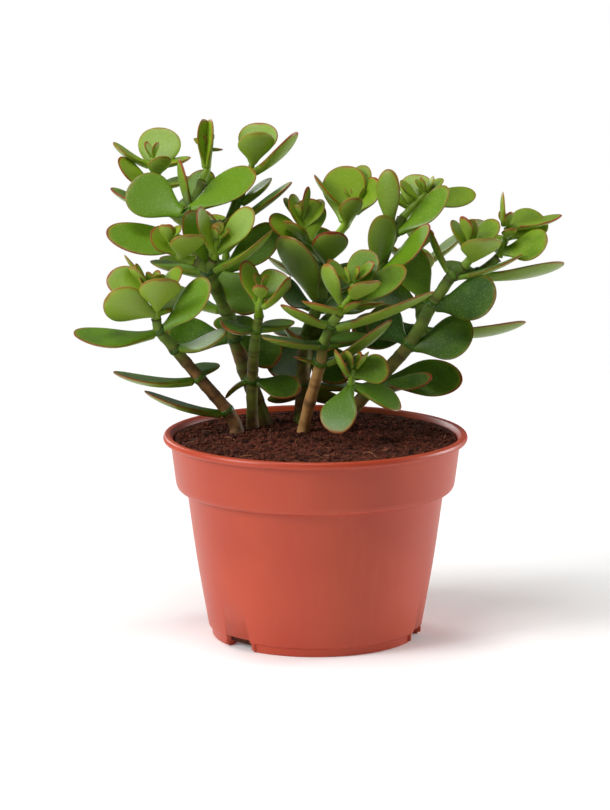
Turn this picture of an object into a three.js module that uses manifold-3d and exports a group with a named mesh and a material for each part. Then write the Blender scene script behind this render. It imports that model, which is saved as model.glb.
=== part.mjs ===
// A small jade plant in a 12 cm plastic nursery pot.
// Millimetres, +Z up, front towards -Y. The origin is the centre of the pot's flat base.
import * as THREE from 'three';
import { mergeVertices } from 'three/addons/utils/BufferGeometryUtils.js';
import Module from 'manifold-3d';

const wasm = await Module();
wasm.setup();

// ---- Driving dimensions ----
const RIM_RADIUS = 60;          // outside of the rolled rim
const RIM_TOP = 80.5;           // full height of the pot
const WALL = 1.1;               // moulded wall thickness
const FLOOR_TOP = 1.6;          // upper face of the pot's floor
const POT_SIDES = 28;
const NOTCH = { width: 15, height: 5, inner: 28, angles: [-136, -16, 104] };
const DRAIN_RADIUS = 3;
const SOIL_EDGE = 77.5;         // soil height at the wall
const SOIL_CROWN = 79.5;        // soil height round the stems
const FIT = 0.35;               // clear gap between pieces that meet
const COLLAR = { wall: 1.0, height: 3 };
const CANE_SIDES = 6;
const CANE_STEP = 7;            // length of one straight facet of a cane
const FOOT_OVERLAP = 0.5;       // how far a leaf's foot reaches into its collar

// ---- Canes: name, piece, radius at foot and end, joints ----
// A joint is where leaves grow. Pieces that start with tip_ are the soft green shoot ends.
const CANES = [
  ['left', 'stem_left', 2.9, 1.8,
    [[-32, 8, 60], [-31, 8, 79], [-35, 7, 88], [-46, 4, 102], [-55, -1, 114], [-61, -5, 122], [-62, -6, 127]]],
  ['left_tip', 'tip_left', 1.8, 1.0, [[-62, -6, 127], [-62, -8, 132], [-63, -9, 136], [-63, -9, 140]]],
  ['mid', 'stem_mid', 2.6, 1.8,
    [[-24, 17, 60], [-25, 17, 79], [-25, 13, 99], [-24, 5, 113], [-23, -2, 122], [-22, -6, 128]]],
  ['mid_tip', 'tip_mid', 1.8, 1.0, [[-22, -6, 128], [-22, -9, 132], [-21, -10, 136], [-21, -11, 139]]],
  ['front', 'stem_front', 2.4, 1.9,
    [[-6, 9, 60], [-5, 8, 78], [-2, 3, 93], [2, -3, 109], [3, -7, 117], [6, -11, 125], [9, -13, 130]]],
  ['front_tip', 'tip_front', 1.9, 1.0, [[9, -13, 130], [11, -15, 134], [14, -17, 138], [14, -18, 143]]],
  ['tall', 'stem_tall', 3.3, 2.4,
    [[-17, 26, 60], [-20, 25, 78], [-28, 22, 102], [-32, 19, 115], [-35, 16, 127], [-39, 16, 141], [-43, 16, 155],
      [-51, 13, 166]]],
  ['fork', 'stem_tall', 2.4, 1.9, [[-35, 16, 127], [-40, 6, 138], [-42, -1, 145], [-47, -2, 149]]],
  ['fork_tip', 'tip_fork', 1.8, 0.9, [[-47, -2, 149], [-53, -3, 151], [-55, -3, 154], [-57, -3, 157]]],
  ['bud', 'stem_tall', 1.8, 1.6, [[-42, -1, 145], [-40, -3, 149.5]]],
  ['bud_tip', 'tip_bud', 1.5, 0.8, [[-40, -3, 149.5], [-39, -3, 152], [-39, -3, 155], [-38, -3, 158]]],
  ['west', 'stem_tall', 2.2, 1.8, [[-43, 16, 155], [-58, 28, 165], [-62, 32, 171]]],
  ['west_tip', 'tip_west', 1.7, 0.9, [[-62, 32, 171], [-64, 35, 178], [-65, 36, 182], [-65, 36, 185]]],
  ['north', 'stem_tall', 2.2, 1.8, [[-43, 16, 155], [-48, 24, 166], [-45, 29, 176]]],
  ['north_tip', 'tip_north', 1.7, 0.9, [[-45, 29, 176], [-43, 31, 181], [-43, 32, 185], [-43, 32, 189]]],
  ['crest', 'stem_tall', 2.2, 1.8, [[-43, 16, 155], [-35, 21, 160], [-31, 25, 169], [-28, 27, 175]]],
  ['crest_tip', 'tip_crest', 1.7, 0.9, [[-28, 27, 175], [-26, 28, 180], [-25, 28, 184], [-25, 28, 187]]],
  ['rear_left', 'stem_tall', 2.4, 1.9, [[-32, 19, 115], [-36, 36, 124], [-36, 42, 132], [-36, 46, 138]]],
  ['rear_left_tip', 'tip_rear_left', 1.8, 0.9, [[-36, 46, 138], [-36, 49, 143], [-36, 51, 148], [-36, 52, 152]]],
  ['centre', 'stem_centre', 3.0, 2.1,
    [[-6, 30, 60], [-6, 29, 77], [-5, 28, 95], [-4, 26, 113], [2, 18, 131], [4, 17, 146], [7, 19, 154]]],
  ['inner', 'stem_centre', 2.0, 1.7, [[4, 17, 146], [1, 19, 151]]],
  ['inner_tip', 'tip_inner', 1.6, 0.9, [[1, 19, 151], [-2, 20, 154], [-5, 21, 158], [-6, 22, 162]]],
  ['top_tip', 'tip_top', 1.9, 1.0, [[7, 19, 154], [12, 22, 160], [15, 25, 164], [17, 26, 168]]],
  ['right', 'stem_centre', 2.6, 2.0, [[-4, 26, 113], [14, 20, 130], [24, 12, 143], [31, 15, 158], [34, 17, 163]]],
  ['right_tip', 'tip_right', 1.8, 0.9, [[34, 17, 163], [38, 19, 167], [41, 20, 170], [44, 21, 173]]],
  ['rear_mid', 'stem_centre', 2.4, 1.9, [[-5, 28, 95], [-2, 42, 112], [0, 47, 122], [2, 50, 130]]],
  ['rear_mid_tip', 'tip_rear_mid', 1.8, 0.9, [[2, 50, 130], [3, 52, 136], [4, 53, 141], [4, 53, 145]]],
  ['side', 'stem_side', 3.0, 2.0,
    [[6, 13, 60], [8, 12, 78], [25, 10, 100], [37, 10, 114], [46, 9, 130], [54, 9, 142], [58, 9, 145]]],
  ['side_tip', 'tip_side', 1.9, 1.0, [[58, 9, 145], [61, 8, 149], [61, 8, 152], [61, 8, 155]]],
  ['far', 'stem_side', 2.0, 1.7, [[54, 9, 142], [64, 14, 142], [72, 14, 148]]],
  ['far_tip', 'tip_far', 1.6, 0.9, [[72, 14, 148], [74, 15, 153], [75, 16, 156], [75, 16, 160]]],
  ['under', 'stem_side', 2.4, 1.9, [[37, 10, 114], [42, 22, 118], [42, 34, 126], [42, 38, 133]]],
  ['under_tip', 'tip_under', 1.8, 0.9, [[42, 38, 133], [42, 40, 139], [42, 41, 144], [42, 41, 148]]],
  ['low', 'stem_side', 2.2, 1.9, [[8, 12, 78], [12, 0, 90], [13, -10, 98]]],
  ['low_tip', 'tip_low', 1.8, 1.0, [[13, -10, 98], [14, -13, 102], [14, -14, 106], [15, -15, 109]]],
];

// ---- Leaves: cane, joint, then for each leaf ----
// [heading, rise, length, width, turn, curl]: heading in degrees from +X, seen from above;
// rise above the horizontal; turn about its own length; curl as a share of its length.
const LEAVES = [
  ['left', 2, [[190, 15, 34, 15, 0, 0.2]]],
  ['left', 3, [[190, 5, 34, 17, 0, 0.25], [75, 10, 17, 12, 0, 0.1]]],
  ['left', 4, [[340, 20, 23, 15, 20, 0.2]]],
  ['left', 5, [[195, 0, 34, 19, -15, 0.25], [338, 44, 30, 15, 60, 0.2]]],
  ['left_tip', 0.5, [[203, 20, 22, 19, 55, 0.2], [60, 10, 18, 14, 0, 0.2]]],
  ['left_tip', 1, [[280, 42, 20, 17, 0, 0.15], [95, 45, 16, 12, 0, 0.2]]],
  ['left_tip', 2, [[165, 25, 20, 16, -40, 0.2], [15, 45, 16, 10, 20, 0.2], [195, 62, 15, 10, -20, 0.1]]],
  ['left_tip', 3, [[220, 40, 14, 8, 0, 0.1], [300, 45, 8, 7, 0, 0.1], [160, 45, 17, 8, 20, 0.1]]],
  ['mid', 2, [[170, -35, 13, 10, 0, -0.4], [345, -10, 20, 15, 30, -0.1]]],
  ['mid', 4, [[205, 10, 15, 14, -15, 0.2], [50, 5, 19, 14, 0, 0.2]]],
  ['mid_tip', 1, [[340, 45, 18, 12, 0, 0.4], [150, 70, 19, 9, -30, 0.2]]],
  ['mid_tip', 2, [[45, 40, 14, 14, 30, 0.2], [265, 35, 11, 7, 0, 0.2]]],
  ['front', 3, [[195, 15, 11, 6, 0, 0.1], [345, 33, 34, 15, -10, 0.2]]],
  ['front', 4, [[205, 10, 26, 18, 0, 0.1], [45, 5, 22, 16, 0, 0.2]]],
  ['front', 5, [[195, 25, 22, 15, 10, 0.2], [350, 20, 43, 18, -10, 0.15]]],
  ['front_tip', 0.5, [[225, 15, 20, 13, 0, 0.2], [315, 25, 10, 9, 0, 0.2]]],
  ['front_tip', 1, [[200, 66, 18, 12, 15, 0.2], [10, 30, 28, 16, 25, 0.3]]],
  ['front_tip', 2, [[300, 28, 16, 14, 0, 0.25], [65, 50, 21, 14, 0, 0.2]]],
  ['front_tip', 3, [[155, 40, 13, 10, 0, 0.2], [25, 40, 12, 9, 0, 0.2]]],
  ['fork', 2, [[340, 33, 32, 14, 5, 0.3], [150, 5, 26, 14, 0, 0.2], [185, 72, 25, 13, -50, 0.1]]],
  ['fork_tip', 1, [[180, 45, 15, 14, -35, 0.2], [290, 38, 17, 15, 0, 0.15]]],
  ['fork_tip', 3, [[250, 55, 9, 7, 0, 0.1], [45, 45, 8, 6, 0, 0.1]]],
  ['bud_tip', 1, [[205, 70, 20, 11, -50, 0.1], [20, 50, 23, 12, 35, 0.2]]],
  ['bud_tip', 3, [[235, 60, 6, 4, 0, 0.1], [30, 35, 6, 5, 0, 0.1]]],
  ['tall', 3, [[350, -25, 20, 16, 50, 0.2], [170, 5, 28, 18, -45, 0.2], [90, 15, 22, 17, 0, 0.2],
    [60, -30, 24, 17, 0, 0.1]]],
  ['tall', 5, [[140, 10, 28, 18, 0, 0.2], [320, -25, 26, 19, 50, 0.1], [20, 36, 31, 15, 50, 0.2]]],
  ['tall', 6, [[190, 5, 40, 19, -35, 0.15], [332, 39, 20, 11, 0, 0.2]]],
  ['tall', 7, [[170, 24, 25, 22, -48, 0.2], [10, 30, 32, 21, 25, 0.2]]],
  ['west', 1, [[175, 20, 25, 15, 0, 0.2], [40, 15, 22, 14, 0, 0.2]]],
  ['west_tip', 0.4, [[200, 35, 20, 12, -40, 0.2], [40, 10, 16, 12, 0, 0.2]]],
  ['west_tip', 1, [[85, 50, 23, 18, 0, 0.2], [290, 40, 14, 10, 0, 0.3]]],
  ['west_tip', 2, [[180, 30, 18, 13, 0, 0.25], [15, 10, 16, 12, 0, 0.2]]],
  ['north', 1, [[225, 70, 22, 15, -35, 0.2], [75, 45, 20, 13, 0, 0.2]]],
  ['north_tip', 1, [[150, 85, 20, 12, 0, 0], [20, 85, 20, 12, 0, 0]]],
  ['north_tip', 3, [[30, -5, 7, 6, 0, 0.1], [150, 35, 7, 6, 0, 0.1]]],
  ['crest', 1, [[5, 33, 31, 13, 0, 0.1], [200, 10, 14, 12, 0, 0.2]]],
  ['crest', 2, [[25, 30, 17, 15, -10, 0.2], [110, 45, 13, 13, 0, 0.2]]],
  ['crest_tip', 1, [[0, 40, 25, 14, -20, 0.3]]],
  ['crest_tip', 2, [[290, 60, 15, 16, 0, 0.2], [75, 50, 19, 17, 0, 0.2]]],
  ['rear_left', 1, [[150, 15, 30, 19, 0, 0.2], [20, 10, 22, 17, 0, 0.2]]],
  ['rear_left_tip', 0.5, [[200, 25, 26, 17, 0, 0.2], [20, 25, 24, 17, 0, 0.2]]],
  ['rear_left_tip', 1.5, [[110, 35, 22, 16, 0, 0.2], [290, 50, 18, 13, 0, 0.2]]],
  ['rear_left_tip', 3, [[20, 50, 13, 9, 0, 0.2], [200, 50, 13, 9, 0, 0.2]]],
  ['centre', 2, [[150, -5, 20, 14, 0, 0.1], [15, -5, 24, 15, 0, 0.1], [62, -28, 25, 18, 0, 0.1],
    [118, -28, 24, 17, 0, 0.1]]],
  ['centre', 3, [[250, 20, 17, 14, -30, 0.2], [320, 10, 22, 17, 30, 0.2]]],
  ['centre', 4, [[225, 55, 33, 21, 0, 0.2], [50, 30, 24, 18, 0, 0.2]]],
  ['centre', 5, [[280, 45, 20, 15, 0, 0.3], [105, 40, 18, 15, 0, 0.2]]],
  ['inner_tip', 1, [[100, 72, 17, 13, 0, 0.1], [225, 35, 16, 11, 0, 0.2], [188, 30, 19, 12, -40, 0.2]]],
  ['inner_tip', 2, [[150, 70, 15, 10, 0, 0.1], [40, 50, 15, 10, 0, 0.2]]],
  ['inner_tip', 3, [[330, 75, 14, 6, 0, 0.1], [155, 50, 11, 7, 0, 0.1]]],
  ['top_tip', 1, [[85, 70, 24, 18, 0, 0.1], [290, 50, 16, 10, 0, 0.2]]],
  ['top_tip', 2, [[0, 55, 17, 15, 30, 0.2], [180, 45, 22, 11, 0, 0.25]]],
  ['top_tip', 3, [[70, 65, 16, 10, 0, 0.1], [150, 50, 9, 8, 0, 0.1]]],
  ['right', 1, [[60, -10, 20, 15, 0, 0.2], [300, 5, 20, 15, 0, 0.2]]],
  ['right', 2, [[335, 40, 30, 15, 40, 0.2], [295, 75, 24, 13, 0, 0.2]]],
  ['right', 3, [[352, 40, 28, 14, 40, 0.2], [240, 80, 26, 11, 0, 0.1]]],
  ['right_tip', 1, [[75, 50, 16, 14, 0, 0.2], [150, 30, 14, 11, 0, 0.2]]],
  ['right_tip', 2, [[20, 5, 24, 13, 30, 0.2], [160, 45, 11, 10, 0, 0.2]]],
  ['right_tip', 3, [[35, 35, 9, 8, 0, 0.1], [155, 45, 7, 6, 0, 0.1]]],
  ['rear_mid', 1, [[120, 0, 22, 17, 0, 0.2], [340, 5, 28, 18, 0, 0.2], [222, -38, 24, 18, -30, 0.2],
    [315, -40, 26, 18, 30, 0.2]]],
  ['rear_mid', 2, [[200, 36, 19, 16, -40, 0.2], [10, 20, 26, 18, 40, 0.2]]],
  ['rear_mid_tip', 0.5, [[190, 25, 24, 17, 0, 0.2], [10, 25, 26, 17, 0, 0.2]]],
  ['rear_mid_tip', 1.5, [[100, 35, 24, 17, 0, 0.2], [280, 55, 18, 13, 0, 0.2]]],
  ['rear_mid_tip', 3, [[10, 50, 13, 9, 0, 0.2], [190, 50, 13, 9, 0, 0.2]]],
  ['side', 2, [[10, 0, 34, 20, 40, 0.15], [335, 5, 23, 11, 30, 0.2], [150, 20, 16, 14, -40, 0.2],
    [80, -20, 26, 18, 0, 0.1]]],
  ['side', 3, [[345, 15, 27, 21, 50, 0.2], [165, 40, 20, 17, -50, 0.2]]],
  ['side', 4, [[330, 12, 29, 21, 55, 0.2], [150, 62, 25, 16, -45, 0.1]]],
  ['side', 5, [[190, 62, 22, 11, 0, 0.1], [350, 18, 29, 9, 0, 0.2]]],
  ['side_tip', 1, [[285, 30, 20, 17, 0, 0.2], [80, 45, 19, 14, 0, 0.2]]],
  ['side_tip', 2, [[160, 55, 14, 12, 0, 0.2], [30, 45, 16, 13, 10, 0.2]]],
  ['side_tip', 3, [[225, 65, 12, 7, 0, 0.1], [265, 75, 10, 6, 0, 0.1]]],
  ['far', 1, [[15, 3, 36, 17, -25, 0.2], [140, 10, 17, 13, 0, 0.2]]],
  ['far_tip', 0.5, [[340, 15, 20, 17, 40, 0.2], [100, 20, 14, 12, 0, 0.2]]],
  ['far_tip', 2, [[35, 20, 20, 16, 40, 0.2], [285, 30, 9, 7, 0, 0.2]]],
  ['far_tip', 3, [[25, 8, 25, 12, 0, 0.2], [180, 85, 14, 9, 0, 0.1]]],
  ['under', 1, [[355, 5, 42, 17, -20, 0.25], [190, 0, 28, 18, -50, 0.2]]],
  ['under', 2, [[160, 15, 22, 17, -50, 0.2], [20, 10, 28, 18, 0, 0.2]]],
  ['under_tip', 0.5, [[100, 25, 24, 17, 0, 0.2], [270, 50, 16, 13, 0, 0.2]]],
  ['under_tip', 1.5, [[190, 35, 20, 15, 0, 0.2], [10, 35, 22, 15, 0, 0.2]]],
  ['under_tip', 3, [[100, 50, 13, 9, 0, 0.2], [280, 50, 12, 9, 0, 0.2]]],
  ['low_tip', 1, [[245, -50, 22, 16, 0, -0.2], [10, -25, 22, 17, 25, -0.1]]],
  ['low_tip', 2, [[0, 15, 15, 13, 60, 0.2], [215, 55, 13, 10, -20, 0.2]]],
  ['low_tip', 3, [[340, 50, 9, 7, 0, 0.1], [215, 65, 8, 6, 0, 0.1]]],
];

// Half width and half thickness of a leaf along its length, as shares of the greatest.
const LEAF_STATIONS = [
  { along: 0.0, wide: 0.24, thick: 0.95 },
  { along: 0.28, wide: 0.62, thick: 1.0 },
  { along: 0.62, wide: 1.0, thick: 0.9 },
  { along: 0.9, wide: 0.7, thick: 0.5 },
];
const BROAD_LEAF = 18;          // leaves at least this wide get six sides, the others four

const MATERIALS = {
  pot: { color: 0xb5523c, roughness: 0.5, metalness: 0 },
  soil: { color: 0x3a1f18, roughness: 1.0, metalness: 0 },
  stem: { color: 0x8a6a4a, roughness: 0.8, metalness: 0 },
  leaf: { color: 0x5f8a2c, roughness: 0.45, metalness: 0 },
  tip: { color: 0x7ea63e, roughness: 0.45, metalness: 0 },
};

const radians = THREE.MathUtils.degToRad;

// ---- Solids ----
function solidOf(geometry) {
  geometry.deleteAttribute('normal');
  geometry.deleteAttribute('uv');
  const merged = mergeVertices(geometry, 1e-4);
  return new wasm.Manifold(new wasm.Mesh({
    numProp: 3,
    vertProperties: merged.attributes.position.array,
    triVerts: new Uint32Array(merged.index.array),
  }));
}

function geometryOf(solid) {
  const mesh = solid.getMesh();
  const geometry = new THREE.BufferGeometry();
  geometry.setAttribute('position', new THREE.BufferAttribute(mesh.vertProperties, 3));
  geometry.setIndex(new THREE.BufferAttribute(mesh.triVerts, 1));
  geometry.computeVertexNormals();
  return geometry;
}

function joined(solids) {
  return solids.reduce((whole, next) => whole.add(next));
}

// A profile of [radius, height] points turned about the Z axis.
function turned(profile, sides) {
  const points = profile.map(([radius, height]) => new THREE.Vector2(radius, height));
  const geometry = new THREE.LatheGeometry(points, sides);
  geometry.rotateX(Math.PI / 2);
  return geometry;
}

// ---- Pot ----
function potWall() {
  const outside = [
    [0, 0], [40.8, 0], [41.2, 3.3], [42.3, 3.7], [47.0, 31], [50.6, 57.8], [51.2, 58.6], [54.0, 60.2],
    [54.9, 62.2], [57.0, 77.6], [59.2, 77.8], [RIM_RADIUS, 79.1], [59.2, RIM_TOP], [57.0, RIM_TOP],
  ];
  const inside = [
    [57.0 - WALL, 78.5], [54.9 - WALL, 62.8], [53.0, 61.2], [49.6, 59.0], [47.0 - WALL, 31],
    [41.4 - WALL, FLOOR_TOP], [0, FLOOR_TOP],
  ];
  return turned([...outside, ...inside], POT_SIDES);
}

// A block that reaches from the foot's skirt towards the middle, for a notch or the hood over it.
function footBlock(angle, width, low, high, inner, outer) {
  const block = new THREE.BoxGeometry(outer - inner, width, high - low);
  block.translate((inner + outer) / 2, 0, (low + high) / 2);
  block.rotateZ(radians(angle));
  return block;
}

function drain(angle) {
  const hole = new THREE.CylinderGeometry(DRAIN_RADIUS, DRAIN_RADIUS, 12, 12);
  hole.rotateX(Math.PI / 2);
  hole.translate(NOTCH.inner + 6, 0, 6);
  hole.rotateZ(radians(angle));
  return hole;
}

function makePot() {
  let pot = solidOf(potWall());
  const { width, height, inner, angles } = NOTCH;
  for (const angle of angles) {
    const hood = footBlock(angle, width + 2 * WALL, 0.5, height + WALL, inner - WALL, 41.5);
    pot = pot.add(solidOf(hood));
    pot = pot.subtract(solidOf(footBlock(angle, width, -1, height, inner, 50)));
    pot = pot.subtract(solidOf(drain(angle)));
  }
  return pot;
}

// ---- Canes ----
function curveThrough(joints) {
  const points = joints.map((joint) => new THREE.Vector3(...joint));
  return new THREE.CatmullRomCurve3(points, false, 'centripetal');
}

function lengthened(joints, atFoot, atEnd) {
  const points = joints.map((joint) => new THREE.Vector3(...joint));
  const last = points.length - 1;
  const startStep = points[0].clone().sub(points[1]).setLength(atFoot);
  const endStep = points[last].clone().sub(points[last - 1]).setLength(atEnd);
  points[0].add(startStep);
  points[last].add(endStep);
  return points.map((point) => point.toArray());
}

// A faceted tube through the joints that tapers from foot to end.
function tube(joints, footRadius, endRadius) {
  const curve = curveThrough(joints);
  const steps = Math.max(3, Math.round(curve.getLength() / CANE_STEP));
  const ring = [];
  for (let side = 0; side < CANE_SIDES; side += 1) {
    const angle = (side / CANE_SIDES) * 2 * Math.PI;
    ring.push(new THREE.Vector2(footRadius * Math.cos(angle), footRadius * Math.sin(angle)));
  }
  const geometry = new THREE.ExtrudeGeometry(new THREE.Shape(ring), { steps, extrudePath: curve });
  const centres = curve.getSpacedPoints(steps);
  const corner = new THREE.Vector3();
  const position = geometry.attributes.position;
  for (let index = 0; index < position.count; index += 1) {
    corner.fromBufferAttribute(position, index);
    const gaps = centres.map((centre) => centre.distanceTo(corner));
    const step = gaps.indexOf(Math.min(...gaps));
    const radius = footRadius + (endRadius - footRadius) * (step / steps);
    corner.sub(centres[step]).multiplyScalar(radius / footRadius).add(centres[step]);
    position.setXYZ(index, corner.x, corner.y, corner.z);
  }
  return geometry;
}

const caneNamed = new Map(CANES.map((cane) => [cane[0], cane]));

function canesOf(piece) {
  return CANES.filter((cane) => cane[1] === piece);
}

function stemSolid(piece, gap) {
  const tubes = canesOf(piece).map(([, , foot, end, joints]) => {
    return solidOf(tube(lengthened(joints, gap, gap), foot + gap, end + gap));
  });
  return joined(tubes);
}

// The place, direction and radius of a cane at a joint; 1.5 is halfway from joint 1 to joint 2.
function jointAt(caneName, joint) {
  const [, , foot, end, joints] = caneNamed.get(caneName);
  const points = joints.map((place) => new THREE.Vector3(...place));
  const last = points.length - 1;
  const before = Math.min(Math.floor(joint), last - 1);
  const place = points[before].clone().lerp(points[before + 1], joint - before);
  const from = points[Math.max(Math.ceil(joint) - 1, 0)];
  const to = points[Math.min(Math.floor(joint) + 1, last)];
  const direction = to.clone().sub(from).normalize();
  return { place, direction, radius: foot + (end - foot) * (joint / last) };
}

// The thin ring that joins the feet of a joint's leaves, clear of the cane inside it.
function collarRadii(radius) {
  const inner = (radius + FIT) / Math.cos(Math.PI / CANE_SIDES);
  return { inner, outer: inner + COLLAR.wall };
}

function collar({ place, direction, radius }) {
  const { inner, outer } = collarRadii(radius);
  const half = COLLAR.height / 2;
  const profile = [[inner, -half], [outer, -half], [outer, half], [inner, half], [inner, -half]];
  const geometry = turned(profile, CANE_SIDES);
  const up = new THREE.Vector3(0, 0, 1);
  geometry.applyQuaternion(new THREE.Quaternion().setFromUnitVectors(up, direction));
  geometry.translate(...place.toArray());
  return geometry;
}

// ---- Leaves ----
// The way a leaf points from its joint.
function pointing(heading, rise) {
  const level = Math.cos(radians(rise));
  return new THREE.Vector3(
    level * Math.cos(radians(heading)), level * Math.sin(radians(heading)), Math.sin(radians(rise)));
}

// A spoon-shaped leaf: a lens section that widens from a narrow foot to a round tip.
function leafOutline(width, length, curl) {
  const halfThick = Math.min(0.3 + 0.1 * width, 1.9);
  const sides = width < BROAD_LEAF ? 4 : 6;
  const profile = LEAF_STATIONS.map(({ along, wide }) => new THREE.Vector2(wide * width / 2, along * length));
  profile.unshift(new THREE.Vector2(0, 0));
  profile.push(new THREE.Vector2(0, length));
  const geometry = new THREE.LatheGeometry(profile, sides, Math.PI / 2);
  const position = geometry.attributes.position;
  for (let index = 0; index < position.count; index += 1) {
    const along = position.getY(index) / length;
    const station = LEAF_STATIONS.find((row) => Math.abs(row.along - along) < 1e-4);
    const radius = Math.hypot(position.getX(index), position.getZ(index));
    const share = station && radius > 0 ? position.getZ(index) / radius * station.thick : 0;
    const sag = curl * length * (along ** 2 - along);
    position.setZ(index, share * halfThick + sag);
  }
  return geometry;
}

// A leaf's foot starts off the cane's axis, and its tip is its length away from the joint.
function leaf({ place, direction }, footRadius, [heading, rise, length, width, turn, curl]) {
  const tip = pointing(heading, rise).multiplyScalar(length);
  const outward = tip.clone().addScaledVector(direction, -tip.dot(direction)).normalize();
  const foot = outward.multiplyScalar(footRadius);
  const reach = tip.clone().sub(foot);
  const blade = reach.length();
  const along = reach.normalize();
  const face = pointing(heading, rise + 90).applyAxisAngle(along, radians(turn));
  const across = along.clone().cross(face).normalize();
  face.copy(across).cross(along);
  const geometry = leafOutline(width, blade, curl);
  geometry.applyMatrix4(new THREE.Matrix4().makeBasis(across, along, face));
  geometry.translate(...place.clone().add(foot).toArray());
  return geometry;
}

// A collar where canes fork is cut back from the cane that leaves there.
function clearOfStems(solid, piece) {
  const touching = solid.intersect(stemSolid(piece, 0)).volume() > 0;
  return touching ? solid.subtract(stemSolid(piece, FIT)) : solid;
}

// Leaves of one joint with the thin collar that joins their feet round the cane.
function makeLeafPair(caneName, joint, leaves) {
  const seat = jointAt(caneName, joint);
  const footRadius = collarRadii(seat.radius).outer - FOOT_OVERLAP;
  const solids = leaves.map((row) => solidOf(leaf(seat, footRadius, row)));
  return clearOfStems(joined([solidOf(collar(seat)), ...solids]), caneNamed.get(caneName)[1]);
}

// The soft green end of a shoot with its young leaves, set on the end of its stem.
function makeTip(piece) {
  const [[caneName, , foot, end, joints]] = canesOf(piece);
  const shoot = solidOf(tube(lengthened(joints, -FIT, 0), foot, end));
  const leaves = LEAVES.filter(([cane]) => cane === caneName).flatMap(([cane, joint, list]) => {
    const seat = jointAt(cane, joint);
    return list.map((row) => solidOf(leaf(seat, seat.radius - FOOT_OVERLAP, row)));
  });
  const start = joints[0].join();
  const [, parent] = CANES.find(([, name, , , path]) => name.startsWith('stem_')
    && path.at(-1).join() === start);
  return clearOfStems(joined([shoot, ...leaves]), parent);
}

// ---- Soil ----
function makeSoil() {
  const gap = FIT + WALL;
  const profile = [
    [0, FLOOR_TOP + FIT], [41.4 - gap, FLOOR_TOP + FIT], [47.0 - gap, 31], [49.6 - FIT, 59.4],
    [53.0 - FIT, 61.6], [54.9 - gap, 63.2], [56.6 - gap, SOIL_EDGE], [36, SOIL_EDGE + 1.6], [0, SOIL_CROWN],
  ];
  let soil = solidOf(turned(profile, POT_SIDES));
  const { width, height, inner, angles } = NOTCH;
  const side = WALL + FIT;
  for (const angle of angles) {
    const hood = footBlock(angle, width + 2 * side, 0, height + side, inner - side, 50);
    soil = soil.subtract(solidOf(hood));
  }
  return soil;
}

// ---- Assembly ----
const STEM_PIECES = [...new Set(CANES.map((cane) => cane[1]))].filter((name) => name.startsWith('stem_'));
const TIP_PIECES = [...new Set(CANES.map((cane) => cane[1]))].filter((name) => name.startsWith('tip_'));

const group = new THREE.Group();

function place(name, solid, material) {
  const mesh = new THREE.Mesh(geometryOf(solid), new THREE.MeshStandardMaterial(MATERIALS[material]));
  mesh.name = name;
  group.add(mesh);
}

const stemHoles = STEM_PIECES.map((piece) => stemSolid(piece, FIT));
place('pot', makePot(), 'pot');
place('soil', stemHoles.reduce((soil, hole) => soil.subtract(hole), makeSoil()), 'soil');
for (const piece of STEM_PIECES) {
  place(piece, stemSolid(piece, 0), 'stem');
}
for (const [caneName, joint, leaves] of LEAVES) {
  if (caneNamed.get(caneName)[1].startsWith('stem_')) {
    place(`leaves_${caneName}_${joint}`, makeLeafPair(caneName, joint, leaves), 'leaf');
  }
}
for (const piece of TIP_PIECES) {
  place(piece, makeTip(piece), 'tip');
}

export default group;
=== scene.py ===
# %% [markdown]
# # A potted jade plant
#
# A young jade plant is a bundle of fleshy stems, each with pairs of thick spoon-shaped leaves.
# It grows here in a plastic nursery pot of dark coir. The simple solids of the design come in
# with the frame, and this lesson puts a finished piece over each of them, in the same place.

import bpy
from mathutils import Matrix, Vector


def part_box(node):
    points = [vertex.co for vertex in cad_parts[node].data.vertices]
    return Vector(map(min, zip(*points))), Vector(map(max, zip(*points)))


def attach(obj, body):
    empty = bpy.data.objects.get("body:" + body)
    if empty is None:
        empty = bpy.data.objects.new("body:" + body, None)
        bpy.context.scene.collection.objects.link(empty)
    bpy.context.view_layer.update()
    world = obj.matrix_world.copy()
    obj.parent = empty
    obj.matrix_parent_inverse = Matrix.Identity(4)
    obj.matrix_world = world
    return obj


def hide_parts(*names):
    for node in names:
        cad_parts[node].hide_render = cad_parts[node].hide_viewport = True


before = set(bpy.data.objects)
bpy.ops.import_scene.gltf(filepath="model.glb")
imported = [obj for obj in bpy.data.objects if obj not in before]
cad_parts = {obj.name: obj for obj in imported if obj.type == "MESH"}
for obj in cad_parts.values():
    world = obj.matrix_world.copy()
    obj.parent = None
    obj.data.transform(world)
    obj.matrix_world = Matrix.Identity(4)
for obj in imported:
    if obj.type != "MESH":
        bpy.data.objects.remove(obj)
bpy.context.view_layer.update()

# %% [markdown]
# ## Camera
#
# A long lens from well back keeps the pot's ellipses shallow. The camera stands a little
# higher than the plant and tips down, so that the soil just shows.

# %% Camera
import math
import random

import bpy
from mathutils import Matrix, Vector, noise

MM = 0.001
AIM = Vector((-4.1, 0, 91.6)) * MM
LOOK_DOWN = math.radians(10.8)
CAMERA_DISTANCE = 1.4
LENS = 158.3

scene = bpy.context.scene
camera = bpy.data.objects.new("camera", bpy.data.cameras.new("camera"))
camera.data.lens = LENS
back_off = Vector((0, -math.cos(LOOK_DOWN), math.sin(LOOK_DOWN)))
camera.location = AIM + CAMERA_DISTANCE * back_off
camera.rotation_euler = (math.pi / 2 - LOOK_DOWN, 0, 0)
scene.collection.objects.link(camera)
scene.camera = camera
print("camera at", tuple(round(value, 3) for value in camera.location))

# %% [markdown]
# ## Studio
#
# The pot is bright on its left, falls into shade past the middle and picks up a thin rim of
# light on its right edge. That takes one big soft source high on the left and a weaker one on
# the right, slightly behind. A third from above and a fourth from behind on the left reach the
# leaves that those two miss. The sky shows white behind the plant but lights it only softly,
# so the shade keeps its depth.

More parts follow.
